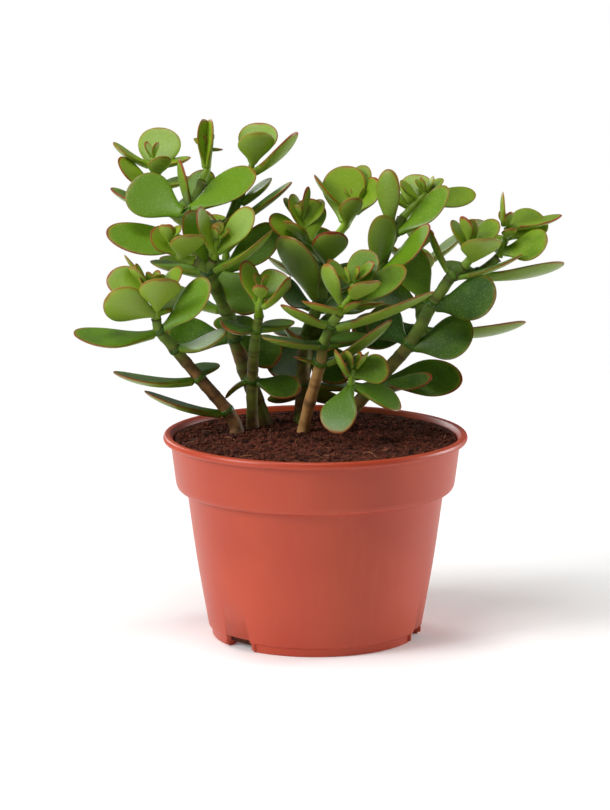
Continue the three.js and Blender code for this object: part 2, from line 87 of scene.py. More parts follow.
# %% Studio
scene.view_settings.view_transform = "Standard"


def area_light(name, place, size, power):
    """A square soft box that faces the middle of the plant."""
    data = bpy.data.lights.new(name, "AREA")
    data.size = size
    data.energy = power
    light = bpy.data.objects.new(name, data)
    light.location = place
    light.rotation_euler = (AIM - Vector(place)).to_track_quat("-Z", "Y").to_euler()
    scene.collection.objects.link(light)


area_light("key_light", (-1.25, -0.65, 0.8), 0.7, 19)
area_light("top_light", (-0.2, -0.3, 1.5), 0.6, 10)
area_light("rim_light", (1.15, 0.45, 0.3), 0.5, 10)
area_light("back_light", (-0.7, 1.1, 0.6), 0.5, 6)
print("lights:", len(bpy.data.lights))


def white_sky(shown, lighting):
    """A white sky that looks bright behind the plant and lights it by a weaker amount."""
    world = bpy.data.worlds.new("studio")
    world.use_nodes = True
    scene.world = world
    nodes = world.node_tree.nodes
    links = world.node_tree.links
    nodes.clear()
    path = nodes.new("ShaderNodeLightPath")
    strength = nodes.new("ShaderNodeMapRange")
    strength.inputs["To Min"].default_value = lighting
    strength.inputs["To Max"].default_value = shown
    sky = nodes.new("ShaderNodeBackground")
    output = nodes.new("ShaderNodeOutputWorld")
    links.new(path.outputs["Is Camera Ray"], strength.inputs["Value"])
    links.new(strength.outputs["Result"], sky.inputs["Strength"])
    links.new(sky.outputs["Background"], output.inputs["Surface"])
    sky.inputs["Color"].default_value = (1, 1, 1, 1)


white_sky(shown=1.0, lighting=0.2)

# %% [markdown]
# ## Shader maths as plain expressions
#
# A pattern such as a red leaf edge is a sum of a few numbers. Node editors draw that as a web
# of Math nodes. Here a small class wraps a socket and overloads + - * and **, so the pattern
# reads as a formula. One method adds any other node.

# %% Finishes: one class for a socket, one for a material
class Wire:
    """A socket in an expression. Each operator adds one Math node."""

    def __init__(self, finish, socket):
        self.finish = finish
        self.socket = socket

    def maths(self, operation, *values):
        return self.finish.node("ShaderNodeMath", {"operation": operation}, dict(enumerate(values)))

    def __add__(self, other):
        return self.maths("ADD", self, other)

    def __sub__(self, other):
        return self.maths("SUBTRACT", self, other)

    def __rsub__(self, other):
        return self.maths("SUBTRACT", other, self)

    def __mul__(self, other):
        return self.maths("MULTIPLY", self, other)

    def __pow__(self, other):
        return self.maths("POWER", self, other)

    __radd__ = __add__
    __rmul__ = __mul__

    def ramp(self, low, high, start=0.0, end=1.0):
        """A smooth step: start below low, end above high."""
        settings = {"interpolation_type": "SMOOTHSTEP"}
        ends = {"Value": self, "From Min": low, "From Max": high, "To Min": start, "To Max": end}
        return self.finish.node("ShaderNodeMapRange", settings, ends)


class Finish:
    """One material, and the one method that adds a node to it."""

    def __init__(self, name):
        self.material = bpy.data.materials.new(name)
        self.material.use_nodes = True
        self.tree = self.material.node_tree
        self.tree.nodes.clear()

    def node(self, kind, settings=None, inputs=None, output=0):
        made = self.tree.nodes.new(kind)
        for name, value in (settings or {}).items():
            setattr(made, name, value)
        for key, value in (inputs or {}).items():
            if isinstance(value, Wire):
                self.tree.links.new(value.socket, made.inputs[key])
            else:
                made.inputs[key].default_value = value
        return Wire(self, made.outputs[output])

    def attribute(self, name):
        """A number that was stored on the mesh's points."""
        return self.node("ShaderNodeAttribute", {"attribute_name": name}, output="Fac")

    def place(self):
        """Where the surface is, in metres, on the object's own axes."""
        return self.node("ShaderNodeTexCoord", output="Object")

    def noise(self, per_metre, detail=3.0, roughness=0.5):
        inputs = {"Vector": self.place(), "Scale": per_metre, "Detail": detail, "Roughness": roughness}
        return self.node("ShaderNodeTexNoise", None, inputs)

    def mix(self, share, first, second):
        """Two colours mixed by a share from 0 to 1."""
        return self.node("ShaderNodeMix", {"data_type": "RGBA"}, {0: share, 6: first, 7: second}, 2)

    def bump(self, height, distance, strength=1.0):
        inputs = {"Height": height, "Distance": distance, "Strength": strength}
        return self.node("ShaderNodeBump", None, inputs, "Normal")

    def surface(self, **sockets):
        """The plastic, bark or leaf shader itself; a word such as base_color names a socket."""
        inputs = {name.replace("_", " ").title().replace("Ior", "IOR"): value
                  for name, value in sockets.items()}
        shader = self.node("ShaderNodeBsdfPrincipled", None, inputs)
        output = self.tree.nodes.new("ShaderNodeOutputMaterial")
        self.tree.links.new(shader.socket, output.inputs["Surface"])
        return self.material


def paint(red, green, blue):
    """A colour from 0 to 255, turned into the linear numbers that light uses."""
    linear = []
    for value in (red, green, blue):
        share = value / 255
        linear.append(share / 12.92 if share <= 0.04045 else ((share + 0.055) / 1.055) ** 2.4)
    return (*linear, 1)


print("terracotta as light:", tuple(round(value, 3) for value in paint(178, 62, 31)))

# %% [markdown]
# ## How the plant grows
#
# Everything above the soil follows one table: canes with the joints they pass through, and at
# each joint the leaves that grow there. The solids were grown from the same table, so a piece
# made from a row lands on its solid. A leaf row says where it heads (0 is right, 90 away from
# the front, counted anticlockwise from above), how steeply it rises, its length and width in
# millimetres, how far its face is turned, and how much its middle sags. A cane row says its
# name, the solid it belongs to, its radius at the foot and at the end, and its joints.

# %% The growth table, in millimetres and degrees
CANES = [
    ["left", "stem_left", 2.9, 1.8,
     [[-32, 8, 60], [-31, 8, 79], [-35, 7, 88], [-46, 4, 102], [-55, -1, 114], [-61, -5, 122],
     [-62, -6, 127]]],
    ["left_tip", "tip_left", 1.8, 1.0, [[-62, -6, 127], [-62, -8, 132], [-63, -9, 136], [-63, -9, 140]]],
    ["mid", "stem_mid", 2.6, 1.8,
     [[-24, 17, 60], [-25, 17, 79], [-25, 13, 99], [-24, 5, 113], [-23, -2, 122], [-22, -6, 128]]],
    ["mid_tip", "tip_mid", 1.8, 1.0, [[-22, -6, 128], [-22, -9, 132], [-21, -10, 136], [-21, -11, 139]]],
    ["front", "stem_front", 2.4, 1.9,
     [[-6, 9, 60], [-5, 8, 78], [-2, 3, 93], [2, -3, 109], [3, -7, 117], [6, -11, 125], [9, -13, 130]]],
    ["front_tip", "tip_front", 1.9, 1.0, [[9, -13, 130], [11, -15, 134], [14, -17, 138], [14, -18, 143]]],
    ["tall", "stem_tall", 3.3, 2.4,
     [[-17, 26, 60], [-20, 25, 78], [-28, 22, 102], [-32, 19, 115], [-35, 16, 127], [-39, 16, 141],
     [-43, 16, 155], [-51, 13, 166]]],
    ["fork", "stem_tall", 2.4, 1.9, [[-35, 16, 127], [-40, 6, 138], [-42, -1, 145], [-47, -2, 149]]],
    ["fork_tip", "tip_fork", 1.8, 0.9, [[-47, -2, 149], [-53, -3, 151], [-55, -3, 154], [-57, -3, 157]]],
    ["bud", "stem_tall", 1.8, 1.6, [[-42, -1, 145], [-40, -3, 149.5]]],
    ["bud_tip", "tip_bud", 1.5, 0.8, [[-40, -3, 149.5], [-39, -3, 152], [-39, -3, 155], [-38, -3, 158]]],
    ["west", "stem_tall", 2.2, 1.8, [[-43, 16, 155], [-58, 28, 165], [-62, 32, 171]]],
    ["west_tip", "tip_west", 1.7, 0.9, [[-62, 32, 171], [-64, 35, 178], [-65, 36, 182], [-65, 36, 185]]],
    ["north", "stem_tall", 2.2, 1.8, [[-43, 16, 155], [-48, 24, 166], [-45, 29, 176]]],
    ["north_tip", "tip_north", 1.7, 0.9, [[-45, 29, 176], [-43, 31, 181], [-43, 32, 185],
     [-43, 32, 189]]],
    ["crest", "stem_tall", 2.2, 1.8, [[-43, 16, 155], [-35, 21, 160], [-31, 25, 169], [-28, 27, 175]]],
    ["crest_tip", "tip_crest", 1.7, 0.9, [[-28, 27, 175], [-26, 28, 180], [-25, 28, 184],
     [-25, 28, 187]]],
    ["rear_left", "stem_tall", 2.4, 1.9, [[-32, 19, 115], [-36, 36, 124], [-36, 42, 132],
     [-36, 46, 138]]],
    ["rear_left_tip", "tip_rear_left", 1.8, 0.9, [[-36, 46, 138], [-36, 49, 143], [-36, 51, 148],
     [-36, 52, 152]]],
    ["centre", "stem_centre", 3.0, 2.1,
     [[-6, 30, 60], [-6, 29, 77], [-5, 28, 95], [-4, 26, 113], [2, 18, 131], [4, 17, 146], [7, 19, 154]]],
    ["inner", "stem_centre", 2.0, 1.7, [[4, 17, 146], [1, 19, 151]]],
    ["inner_tip", "tip_inner", 1.6, 0.9, [[1, 19, 151], [-2, 20, 154], [-5, 21, 158], [-6, 22, 162]]],
    ["top_tip", "tip_top", 1.9, 1.0, [[7, 19, 154], [12, 22, 160], [15, 25, 164], [17, 26, 168]]],
    ["right", "stem_centre", 2.6, 2.0, [[-4, 26, 113], [14, 20, 130], [24, 12, 143], [31, 15, 158],
     [34, 17, 163]]],
    ["right_tip", "tip_right", 1.8, 0.9, [[34, 17, 163], [38, 19, 167], [41, 20, 170], [44, 21, 173]]],
    ["rear_mid", "stem_centre", 2.4, 1.9, [[-5, 28, 95], [-2, 42, 112], [0, 47, 122], [2, 50, 130]]],
    ["rear_mid_tip", "tip_rear_mid", 1.8, 0.9, [[2, 50, 130], [3, 52, 136], [4, 53, 141], [4, 53, 145]]],
    ["side", "stem_side", 3.0, 2.0,
     [[6, 13, 60], [8, 12, 78], [25, 10, 100], [37, 10, 114], [46, 9, 130], [54, 9, 142], [58, 9, 145]]],
    ["side_tip", "tip_side", 1.9, 1.0, [[58, 9, 145], [61, 8, 149], [61, 8, 152], [61, 8, 155]]],
    ["far", "stem_side", 2.0, 1.7, [[54, 9, 142], [64, 14, 142], [72, 14, 148]]],
    ["far_tip", "tip_far", 1.6, 0.9, [[72, 14, 148], [74, 15, 153], [75, 16, 156], [75, 16, 160]]],
    ["under", "stem_side", 2.4, 1.9, [[37, 10, 114], [42, 22, 118], [42, 34, 126], [42, 38, 133]]],
    ["under_tip", "tip_under", 1.8, 0.9, [[42, 38, 133], [42, 40, 139], [42, 41, 144], [42, 41, 148]]],
    ["low", "stem_side", 2.2, 1.9, [[8, 12, 78], [12, 0, 90], [13, -10, 98]]],
    ["low_tip", "tip_low", 1.8, 1.0, [[13, -10, 98], [14, -13, 102], [14, -14, 106], [15, -15, 109]]],
]
LEAVES = [
    ["left", 2, [[190, 15, 34, 15, 0, 0.2]]],
    ["left", 3, [[190, 5, 34, 17, 0, 0.25], [75, 10, 17, 12, 0, 0.1]]],
    ["left", 4, [[340, 20, 23, 15, 20, 0.2]]],
    ["left", 5, [[195, 0, 34, 19, -15, 0.25], [338, 44, 30, 15, 60, 0.2]]],
    ["left_tip", 0.5, [[203, 20, 22, 19, 55, 0.2], [60, 10, 18, 14, 0, 0.2]]],
    ["left_tip", 1, [[280, 42, 20, 17, 0, 0.15], [95, 45, 16, 12, 0, 0.2]]],
    ["left_tip", 2, [[165, 25, 20, 16, -40, 0.2], [15, 45, 16, 10, 20, 0.2],
     [195, 62, 15, 10, -20, 0.1]]],
    ["left_tip", 3, [[220, 40, 14, 8, 0, 0.1], [300, 45, 8, 7, 0, 0.1], [160, 45, 17, 8, 20, 0.1]]],
    ["mid", 2, [[170, -35, 13, 10, 0, -0.4], [345, -10, 20, 15, 30, -0.1]]],
    ["mid", 4, [[205, 10, 15, 14, -15, 0.2], [50, 5, 19, 14, 0, 0.2]]],
    ["mid_tip", 1, [[340, 45, 18, 12, 0, 0.4], [150, 70, 19, 9, -30, 0.2]]],
    ["mid_tip", 2, [[45, 40, 14, 14, 30, 0.2], [265, 35, 11, 7, 0, 0.2]]],
    ["front", 3, [[195, 15, 11, 6, 0, 0.1], [345, 33, 34, 15, -10, 0.2]]],
    ["front", 4, [[205, 10, 26, 18, 0, 0.1], [45, 5, 22, 16, 0, 0.2]]],
    ["front", 5, [[195, 25, 22, 15, 10, 0.2], [350, 20, 43, 18, -10, 0.15]]],
    ["front_tip", 0.5, [[225, 15, 20, 13, 0, 0.2], [315, 25, 10, 9, 0, 0.2]]],
    ["front_tip", 1, [[200, 66, 18, 12, 15, 0.2], [10, 30, 28, 16, 25, 0.3]]],
    ["front_tip", 2, [[300, 28, 16, 14, 0, 0.25], [65, 50, 21, 14, 0, 0.2]]],
    ["front_tip", 3, [[155, 40, 13, 10, 0, 0.2], [25, 40, 12, 9, 0, 0.2]]],
    ["fork", 2, [[340, 33, 32, 14, 5, 0.3], [150, 5, 26, 14, 0, 0.2], [185, 72, 25, 13, -50, 0.1]]],
    ["fork_tip", 1, [[180, 45, 15, 14, -35, 0.2], [290, 38, 17, 15, 0, 0.15]]],
    ["fork_tip", 3, [[250, 55, 9, 7, 0, 0.1], [45, 45, 8, 6, 0, 0.1]]],
    ["bud_tip", 1, [[205, 70, 20, 11, -50, 0.1], [20, 50, 23, 12, 35, 0.2]]],
    ["bud_tip", 3, [[235, 60, 6, 4, 0, 0.1], [30, 35, 6, 5, 0, 0.1]]],
    ["tall", 3, [[350, -25, 20, 16, 50, 0.2], [170, 5, 28, 18, -45, 0.2], [90, 15, 22, 17, 0, 0.2],
     [60, -30, 24, 17, 0, 0.1]]],
    ["tall", 5, [[140, 10, 28, 18, 0, 0.2], [320, -25, 26, 19, 50, 0.1], [20, 36, 31, 15, 50, 0.2]]],
    ["tall", 6, [[190, 5, 40, 19, -35, 0.15], [332, 39, 20, 11, 0, 0.2]]],
    ["tall", 7, [[170, 24, 25, 22, -48, 0.2], [10, 30, 32, 21, 25, 0.2]]],
    ["west", 1, [[175, 20, 25, 15, 0, 0.2], [40, 15, 22, 14, 0, 0.2]]],
    ["west_tip", 0.4, [[200, 35, 20, 12, -40, 0.2], [40, 10, 16, 12, 0, 0.2]]],
    ["west_tip", 1, [[85, 50, 23, 18, 0, 0.2], [290, 40, 14, 10, 0, 0.3]]],
    ["west_tip", 2, [[180, 30, 18, 13, 0, 0.25], [15, 10, 16, 12, 0, 0.2]]],
    ["north", 1, [[225, 70, 22, 15, -35, 0.2], [75, 45, 20, 13, 0, 0.2]]],
    ["north_tip", 1, [[150, 85, 20, 12, 0, 0], [20, 85, 20, 12, 0, 0]]],
    ["north_tip", 3, [[30, -5, 7, 6, 0, 0.1], [150, 35, 7, 6, 0, 0.1]]],
    ["crest", 1, [[5, 33, 31, 13, 0, 0.1], [200, 10, 14, 12, 0, 0.2]]],
    ["crest", 2, [[25, 30, 17, 15, -10, 0.2], [110, 45, 13, 13, 0, 0.2]]],
    ["crest_tip", 1, [[0, 40, 25, 14, -20, 0.3]]],
    ["crest_tip", 2, [[290, 60, 15, 16, 0, 0.2], [75, 50, 19, 17, 0, 0.2]]],
    ["rear_left", 1, [[150, 15, 30, 19, 0, 0.2], [20, 10, 22, 17, 0, 0.2]]],
    ["rear_left_tip", 0.5, [[200, 25, 26, 17, 0, 0.2], [20, 25, 24, 17, 0, 0.2]]],
    ["rear_left_tip", 1.5, [[110, 35, 22, 16, 0, 0.2], [290, 50, 18, 13, 0, 0.2]]],
    ["rear_left_tip", 3, [[20, 50, 13, 9, 0, 0.2], [200, 50, 13, 9, 0, 0.2]]],
    ["centre", 2, [[150, -5, 20, 14, 0, 0.1], [15, -5, 24, 15, 0, 0.1], [62, -28, 25, 18, 0, 0.1],
     [118, -28, 24, 17, 0, 0.1]]],
    ["centre", 3, [[250, 20, 17, 14, -30, 0.2], [320, 10, 22, 17, 30, 0.2]]],
    ["centre", 4, [[225, 55, 33, 21, 0, 0.2], [50, 30, 24, 18, 0, 0.2]]],
    ["centre", 5, [[280, 45, 20, 15, 0, 0.3], [105, 40, 18, 15, 0, 0.2]]],
    ["inner_tip", 1, [[100, 72, 17, 13, 0, 0.1], [225, 35, 16, 11, 0, 0.2], [188, 30, 19, 12, -40, 0.2]]],
    ["inner_tip", 2, [[150, 70, 15, 10, 0, 0.1], [40, 50, 15, 10, 0, 0.2]]],
    ["inner_tip", 3, [[330, 75, 14, 6, 0, 0.1], [155, 50, 11, 7, 0, 0.1]]],
    ["top_tip", 1, [[85, 70, 24, 18, 0, 0.1], [290, 50, 16, 10, 0, 0.2]]],
    ["top_tip", 2, [[0, 55, 17, 15, 30, 0.2], [180, 45, 22, 11, 0, 0.25]]],
    ["top_tip", 3, [[70, 65, 16, 10, 0, 0.1], [150, 50, 9, 8, 0, 0.1]]],
    ["right", 1, [[60, -10, 20, 15, 0, 0.2], [300, 5, 20, 15, 0, 0.2]]],
    ["right", 2, [[335, 40, 30, 15, 40, 0.2], [295, 75, 24, 13, 0, 0.2]]],
    ["right", 3, [[352, 40, 28, 14, 40, 0.2], [240, 80, 26, 11, 0, 0.1]]],
    ["right_tip", 1, [[75, 50, 16, 14, 0, 0.2], [150, 30, 14, 11, 0, 0.2]]],
    ["right_tip", 2, [[20, 5, 24, 13, 30, 0.2], [160, 45, 11, 10, 0, 0.2]]],
    ["right_tip", 3, [[35, 35, 9, 8, 0, 0.1], [155, 45, 7, 6, 0, 0.1]]],
    ["rear_mid", 1, [[120, 0, 22, 17, 0, 0.2], [340, 5, 28, 18, 0, 0.2], [222, -38, 24, 18, -30, 0.2],
     [315, -40, 26, 18, 30, 0.2]]],
    ["rear_mid", 2, [[200, 36, 19, 16, -40, 0.2], [10, 20, 26, 18, 40, 0.2]]],
    ["rear_mid_tip", 0.5, [[190, 25, 24, 17, 0, 0.2], [10, 25, 26, 17, 0, 0.2]]],
    ["rear_mid_tip", 1.5, [[100, 35, 24, 17, 0, 0.2], [280, 55, 18, 13, 0, 0.2]]],
    ["rear_mid_tip", 3, [[10, 50, 13, 9, 0, 0.2], [190, 50, 13, 9, 0, 0.2]]],
    ["side", 2, [[10, 0, 34, 20, 40, 0.15], [335, 5, 23, 11, 30, 0.2], [150, 20, 16, 14, -40, 0.2],
     [80, -20, 26, 18, 0, 0.1]]],
    ["side", 3, [[345, 15, 27, 21, 50, 0.2], [165, 40, 20, 17, -50, 0.2]]],
    ["side", 4, [[330, 12, 29, 21, 55, 0.2], [150, 62, 25, 16, -45, 0.1]]],
    ["side", 5, [[190, 62, 22, 11, 0, 0.1], [350, 18, 29, 9, 0, 0.2]]],
    ["side_tip", 1, [[285, 30, 20, 17, 0, 0.2], [80, 45, 19, 14, 0, 0.2]]],
    ["side_tip", 2, [[160, 55, 14, 12, 0, 0.2], [30, 45, 16, 13, 10, 0.2]]],
    ["side_tip", 3, [[225, 65, 12, 7, 0, 0.1], [265, 75, 10, 6, 0, 0.1]]],
    ["far", 1, [[15, 3, 36, 17, -25, 0.2], [140, 10, 17, 13, 0, 0.2]]],
    ["far_tip", 0.5, [[340, 15, 20, 17, 40, 0.2], [100, 20, 14, 12, 0, 0.2]]],
    ["far_tip", 2, [[35, 20, 20, 16, 40, 0.2], [285, 30, 9, 7, 0, 0.2]]],
    ["far_tip", 3, [[25, 8, 25, 12, 0, 0.2], [180, 85, 14, 9, 0, 0.1]]],
    ["under", 1, [[355, 5, 42, 17, -20, 0.25], [190, 0, 28, 18, -50, 0.2]]],
    ["under", 2, [[160, 15, 22, 17, -50, 0.2], [20, 10, 28, 18, 0, 0.2]]],
    ["under_tip", 0.5, [[100, 25, 24, 17, 0, 0.2], [270, 50, 16, 13, 0, 0.2]]],
    ["under_tip", 1.5, [[190, 35, 20, 15, 0, 0.2], [10, 35, 22, 15, 0, 0.2]]],
    ["under_tip", 3, [[100, 50, 13, 9, 0, 0.2], [280, 50, 12, 9, 0, 0.2]]],
    ["low_tip", 1, [[245, -50, 22, 16, 0, -0.2], [10, -25, 22, 17, 25, -0.1]]],
    ["low_tip", 2, [[0, 15, 15, 13, 60, 0.2], [215, 55, 13, 10, -20, 0.2]]],
    ["low_tip", 3, [[340, 50, 9, 7, 0, 0.1], [215, 65, 8, 6, 0, 0.1]]],
]

cane_named = {cane[0]: cane for cane in CANES}
print("canes:", len(CANES), "joints with leaves:", len(LEAVES))

# %% [markdown]
# ## Canes as smooth paths
#
# A cane bends gently from joint to joint. A Catmull-Rom curve does that, because it passes
# through every joint it is given. The places along it are a short step apart, so the bark can
# carry thin rings.

# %% Paths and joints
CANE_STEP = 1.2


def path_through(joints):
    """Evenly stepped points on the curve through a cane's joints, each with its joint number."""
    knots = [Vector(joint) for joint in joints]
    knots = [2 * knots[0] - knots[1], *knots, 2 * knots[-1] - knots[-2]]
    path = []
    for first in range(len(joints) - 1):
        before, start, end, after = knots[first:first + 4]
        steps = max(2, round((end - start).length / CANE_STEP))
        for step in range(steps):
            t = step / steps
            bend = 2 * before - 5 * start + 4 * end - after
            swing = 3 * start - 3 * end + after - before
            point = start + 0.5 * (t * (end - before) + t ** 2 * bend + t ** 3 * swing)
            path.append((point, first + t))
    path.append((knots[-2], len(joints) - 1))
    return path


def seat_at(cane_name, joint):
    """The place, direction and radius of a cane at a joint; 1.5 is halfway from joint 1 to joint 2."""
    _, _, foot, end, joints = cane_named[cane_name]
    knots = [Vector(place) for place in joints]
    last = len(knots) - 1
    before = min(math.floor(joint), last - 1)
    place = knots[before].lerp(knots[before + 1], joint - before)
    start = knots[max(math.ceil(joint) - 1, 0)]
    stop = knots[min(math.floor(joint) + 1, last)]
    radius = foot + (end - foot) * joint / last
    return place, (stop - start).normalized(), radius


print("points along the tall cane:", len(path_through(cane_named["tall"][4])))

# %% [markdown]
# ## Finishing a piece
#
# Each piece is modelled in millimetres in a bmesh. At the end its points shrink to metres, its
# faces are turned outwards, and it gets its finish. It then rides on the one rigid body, and
# takes the place of its plain solid.

# %% Turn a bmesh into a finished piece
import bmesh

carrier = bpy.data.meshes.new("carrier")


def bmesh_with(names):
    """An empty bmesh whose points can carry the named numbers."""
    bm = bmesh.new()
    for name in names:
        bm.verts.layers.float.new(name)
    return bm


def add_apart(whole, add, *details):
    """Model one part in a bmesh of its own, where each operator is quick, then add it to the whole."""
    alone = bmesh_with(whole.verts.layers.float.keys())
    add(alone, *details)
    alone.to_mesh(carrier)
    alone.free()
    whole.from_mesh(carrier)


def spin_round(bm, chain, steps):
    """Turn a chain of points and edges all the way about the Z axis."""
    bmesh.ops.spin(bm, geom=chain, cent=(0, 0, 0), axis=(0, 0, 1), angle=2 * math.pi, steps=steps,
                   use_merge=True)


def place_mesh(name, bm):
    """Put the bmesh in the scene as an object."""
    mesh = bpy.data.meshes.new(name)
    bm.to_mesh(mesh)
    placed = bpy.data.objects.new(name, mesh)
    scene.collection.objects.link(placed)
    return placed


def finish_piece(name, bm, node, material, rounds=0):
    """The bmesh as an object with its finish, smoothed by a number of rounds."""
    bmesh.ops.scale(bm, vec=(MM, MM, MM), verts=bm.verts)
    bmesh.ops.recalc_face_normals(bm, faces=bm.faces)
    piece = place_mesh(name, bm)
    bm.free()
    piece.data.shade_smooth()
    piece.data.materials.append(material)
    if rounds:
        smoother = piece.modifiers.new("smoother", "SUBSURF")
        smoother.levels = rounds
        smoother.render_levels = rounds
    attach(piece, "root")
    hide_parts(node)
    return piece


# %% [markdown]
# ## Leaf finish
#
# A jade leaf is bright green above and paler below. Its rim is red, widest and strongest at
# the tip where the sun reaches. Tiny pale pores dot the skin, and a thin wax gives a soft
# sheen. The rim follows the leaf's own shape, so it is painted by a distance to the rim that
# the mesh carries at each point. Light that soaks into the flesh is subsurface scattering.

# %% Leaf and shoot finish
def leaf_finish(name, deep, bright, under, rim_colour):
    leaf = Finish(name)
    rim_gap = leaf.attribute("rim_gap")
    along = leaf.attribute("along")
    tone = leaf.attribute("tone")
    blush = leaf.attribute("blush")
    above = leaf.attribute("above")
    patches = leaf.noise(160, detail=2)
    streaks = leaf.noise(900, detail=2)
    # The tone mixes deep and bright green: in part painted light and painted shade from the leaf's place,
    # in part the leaf's own varying green.
    flesh = leaf.mix((tone + (patches - 0.5) * 0.7).ramp(0.0, 1.0), deep, bright)
    flesh = leaf.mix(above.ramp(0.15, -0.3) * 0.75, flesh, under)
    pore_field = leaf.node("ShaderNodeTexVoronoi", None, {"Vector": leaf.place(), "Scale": 1100.0})
    pores = pore_field.ramp(0.30, 0.16) * (1 - rim_gap.ramp(1.2, 0.4)) * 0.22
    flesh = leaf.mix(pores, flesh, paint(182, 205, 140))
    wander = rim_gap + (patches - 0.5) * 0.9 + (streaks - 0.5) * 0.3
    reach = along ** 3 * 1.15 - 0.12
    rim = (wander - reach).ramp(0.55, -0.15) * blush
    warm = (rim_gap - reach * 2.4).ramp(1.2, -0.6) * blush * 0.35
    colour = leaf.mix(warm, flesh, paint(168, 132, 44))
    colour = leaf.mix(rim, colour, rim_colour)
    skin = leaf.noise(2400, detail=2)
    height = skin * 0.25 + leaf.noise(420, detail=2) * 0.75
    return leaf.surface(
        base_color=colour,
        roughness=(patches + skin).ramp(0.6, 1.5, 0.34, 0.5),
        normal=leaf.bump(height, 0.00025, 0.35),
        subsurface_weight=0.14,
        subsurface_radius=(0.5, 1.0, 0.2),
        subsurface_scale=0.0025,
        specular_ior_level=0.34,
        coat_weight=0.04,
        coat_roughness=0.3,
    )


leaf_skin = leaf_finish("leaf_skin", paint(44, 78, 8), paint(98, 136, 12),
                        paint(126, 154, 48), paint(132, 40, 18))
shoot_skin = leaf_finish("shoot_skin", paint(76, 112, 12), paint(126, 158, 26),
                         paint(136, 164, 54), paint(146, 52, 22))
print("nodes in the leaf finish:", len(leaf_skin.node_tree.nodes))

# %% [markdown]
# ## One leaf
#
# A leaf is closed all round, thick in the middle and thin at the rim. A sphere already is a
# closed skin with a point at each end, so a small one is stretched: its north pole becomes
# the leaf's foot, its south pole the tip, and each ring of points slides out to the width and
# thickness that the leaf has there. The widest place is past the middle, like a spoon. Leaves
# high up and out to the left are painted brighter, and those low inside the plant darker. That
# is painted light and painted shade, where the lamps from the left reach or miss them, and in
# part the paler green of young leaves high up.

# %% Leaf outline
FOOT_SHARE = 0.24
WIDEST_AT = 0.62
HALF_THICK_LIMIT = 1.9


def width_share(t, tip_roundness):
    """How wide a leaf is at t, from 0 at the foot to 1 at the tip, as a share of its greatest width."""
    if t < WIDEST_AT:
        swell = (1 - math.cos(math.pi * t / WIDEST_AT)) / 2
        return FOOT_SHARE + (1 - FOOT_SHARE) * swell
    fall = (t - WIDEST_AT) / (1 - WIDEST_AT)
    return math.sqrt(max(0, 1 - fall ** tip_roundness))


def thick_share(t):
    return (1 - 0.45 * t ** 2) * math.sqrt(max(0, 1 - t ** 8))


print("width at the foot:", width_share(0, 2))

# %% Leaf placing
# How bright a leaf is painted by its place: painted light high up and on the left where the lamps reach,
# painted shade low inside the plant.
SHADE_TOP = 95
PAINTED_LIGHT_CLIMB = 90
PAINTED_LIGHT_LEFT = -20
PAINTED_LIGHT_REACH = 80


def heading_to(heading, rise):
    level = math.cos(math.radians(rise))
    return Vector((level * math.cos(math.radians(heading)),
                   level * math.sin(math.radians(heading)), math.sin(math.radians(rise))))


def leaf_axes(seat, foot_gap, row):
    """Where a leaf starts, its length, and a matrix from its own axes to the plant's."""
    place, direction, _ = seat
    heading, rise, length, _, turn, _ = row
    tip = heading_to(heading, rise) * length
    outward = (tip - direction * tip.dot(direction)).normalized()
    foot = outward * foot_gap
    along = (tip - foot).normalized()
    face = heading_to(heading, rise + 90)
    face.rotate(Matrix.Rotation(math.radians(turn), 3, along))
    across = along.cross(face).normalized()
    face = across.cross(along)
    axes = Matrix((across, along, face)).transposed().to_4x4()
    return Matrix.Translation(place + foot) @ axes, (tip - foot).length


def painted_light_on(place):
    """Painted light and shade by place: brighter high up and out to the left, where the lamps reach; high
    up it is also the paler green of young leaves.
    """
    return (place.z - SHADE_TOP) / PAINTED_LIGHT_CLIMB + max(0, PAINTED_LIGHT_LEFT - place.x) / PAINTED_LIGHT_REACH


# %% Grow a leaf
LEAF_NUMBERS = ("rim_gap", "along", "above", "tone", "blush")
SMALL_LEAF = 12
RIM_LIFT = 0.10
STALK_END = 0.12
FAR_FROM_RIM = 3.0


